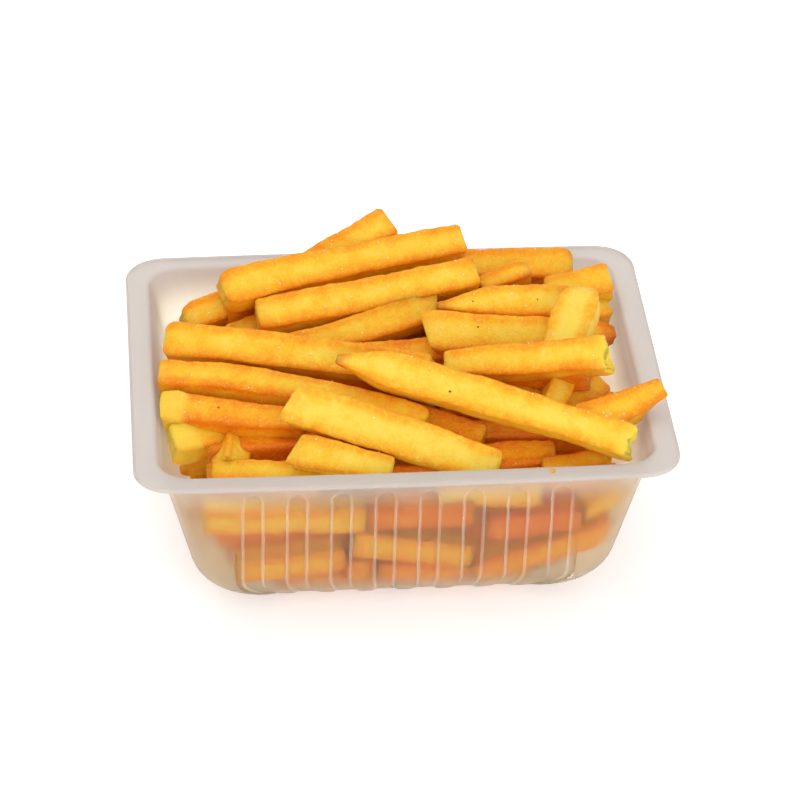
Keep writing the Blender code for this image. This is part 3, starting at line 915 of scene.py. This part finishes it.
def lay_lump(lump, name, x, y, stretch, rng, least_level=0.0):
    """A copy of a lump, turned its own way, on the surface there, if that is level enough."""
    where, facing = highest_under(x, y)
    if where is None or facing.z < least_level:
        return None
    turned = facing.to_track_quat("Z", "Y").to_matrix().to_4x4()
    spun = Matrix.Rotation(rng.uniform(0, math.tau), 4, "Z")
    sized = Matrix.Diagonal((*(size * MM for size in stretch), 1))
    mesh = lump.data.copy()
    mesh.transform(Matrix.Translation(where) @ turned @ spun @ sized)
    found = bpy.data.objects.new(name, mesh)
    bpy.context.collection.objects.link(found)
    return found


deselect_all()
bpy.ops.mesh.primitive_cube_add(size=1)
salt_grain = bpy.context.object
bpy.ops.object.mode_set(mode="EDIT")
bpy.ops.mesh.bevel(offset=GRAIN_WORN, segments=1)
bpy.ops.object.mode_set(mode="OBJECT")
grains = []
while len(grains) < SALT_GRAINS:
    x, y = (rng.uniform(-reach, reach) for reach in SALT_OVER)
    stretch = [rng.uniform(*SALT_SIZES) for _ in range(3)]
    grain = lay_lump(salt_grain, f"grain_{len(grains)}", x, y, stretch, rng, SALT_LEVEL)
    if grain is not None:
        grains.append(grain)
salt = join_all("salt", grains)
bpy.data.objects.remove(salt_grain, do_unlink=True)

deselect_all()
bpy.ops.mesh.primitive_ico_sphere_add(subdivisions=2, radius=0.5)
lump = bpy.context.object
for vert in lump.data.vertices:
    vert.co *= 1 + LUMP_UNEVEN * noise.noise(vert.co * 2.5)
burnt = []
for number, (x, y, size) in enumerate(SPECKS):
    burnt.append(lay_lump(lump, f"speck_{number}", x, y, (size, 0.7 * size, 0.35 * size), rng))
specks = join_all("specks", burnt)
x, y, size = CRUMB
crumb = lay_lump(lump, "crumb", x, y, (size, 0.8 * size, 0.7 * size), rng)
bpy.data.objects.remove(lump, do_unlink=True)

for piece, name, colours, roughness in (
    (salt, "sea_salt", ((0.95, 0.84, 0.55), (0.98, 0.93, 0.78)), 0.35),
    (specks, "burnt_crust", ((0.16, 0.035, 0.005), (0.30, 0.08, 0.012)), 0.6),
    (crumb, "fried_crumb", ((0.80, 0.26, 0.02), (0.93, 0.45, 0.06)), 0.5),
):
    grainy = Finish(name)
    grainy.set("Base Color", grainy.blend(grainy.noise(900, 3), *colours))
    grainy.set("Roughness", roughness)
    piece.data.materials.append(grainy.material)
    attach(piece, "root")

# The floor, the light and the camera
# A plain white table that glows a little, as in a bright studio, a soft light overhead
# and one in front. The camera stands in front of the tray and looks down at it.
deselect_all()
bpy.ops.mesh.primitive_plane_add(size=4, location=(0, 0.8, -0.0004))
floor = bpy.context.object
floor.name = "white_table"
bpy.ops.object.transform_apply(location=True)
board = Finish("matt_white_board")
board.set("Base Color", (0.85, 0.85, 0.85))
board.set("Emission Color", (1, 1, 1))
board.set("Emission Strength", 0.42)
board.set("Roughness", 0.9)
floor.data.materials.append(board.material)


def soft_light(name, where, aim, size, power, colour):
    data = bpy.data.lights.new(name, "AREA")
    data.shape = "DISK"
    data.size = size
    data.energy = power
    data.color = colour
    lamp = bpy.data.objects.new(name, data)
    bpy.context.collection.objects.link(lamp)
    lamp.location = where
    lamp.rotation_euler = (Vector(where) - Vector(aim)).to_track_quat("Z", "Y").to_euler()


soft_light("overhead", (-0.2, 0.3, 1.0), (0, 0, 0.04), 1.0, 3.6, (1.0, 0.985, 0.96))
soft_light("front", (0.25, -1.3, 0.55), (0, 0, 0.03), 1.2, 7.6, (1.0, 0.99, 0.975))
world = bpy.data.worlds.new("studio")
world.use_nodes = True
world.node_tree.nodes["Background"].inputs["Color"].default_value = (1, 0.995, 0.99, 1)
world.node_tree.nodes["Background"].inputs["Strength"].default_value = 0.74
bpy.context.scene.world = world

CAMERA_AWAY = 1107.0
CAMERA_UP = math.radians(34.74)
CAMERA_ROUND = math.radians(-5.43)
CAMERA_ROLL = math.radians(1.24)
LENS = 164.6
AIM_RIGHT = -1.81
AIM_UP = 11.82
back = Vector(
    (
        math.sin(CAMERA_ROUND) * math.cos(CAMERA_UP),
        -math.cos(CAMERA_ROUND) * math.cos(CAMERA_UP),
        math.sin(CAMERA_UP),
    )
)
level_right = Vector((math.cos(CAMERA_ROUND), math.sin(CAMERA_ROUND), 0))
level_up = back.cross(level_right)
right = level_right * math.cos(CAMERA_ROLL) + level_up * math.sin(CAMERA_ROLL)
upward = level_up * math.cos(CAMERA_ROLL) - level_right * math.sin(CAMERA_ROLL)
lens = bpy.data.cameras.new("camera")
lens.lens = LENS
lens.sensor_width = 36
lens.clip_start = 0.05
lens.clip_end = 20
camera = bpy.data.objects.new("camera", lens)
bpy.context.collection.objects.link(camera)
eye = back * CAMERA_AWAY - right * AIM_RIGHT - upward * AIM_UP + Vector((0, 0, TRAY_HEIGHT))
turned = Matrix((right, upward, back)).transposed().to_4x4()
camera.matrix_world = Matrix.Translation(eye * MM) @ turned
bpy.context.scene.camera = camera
bpy.context.scene.view_settings.view_transform = "Standard"
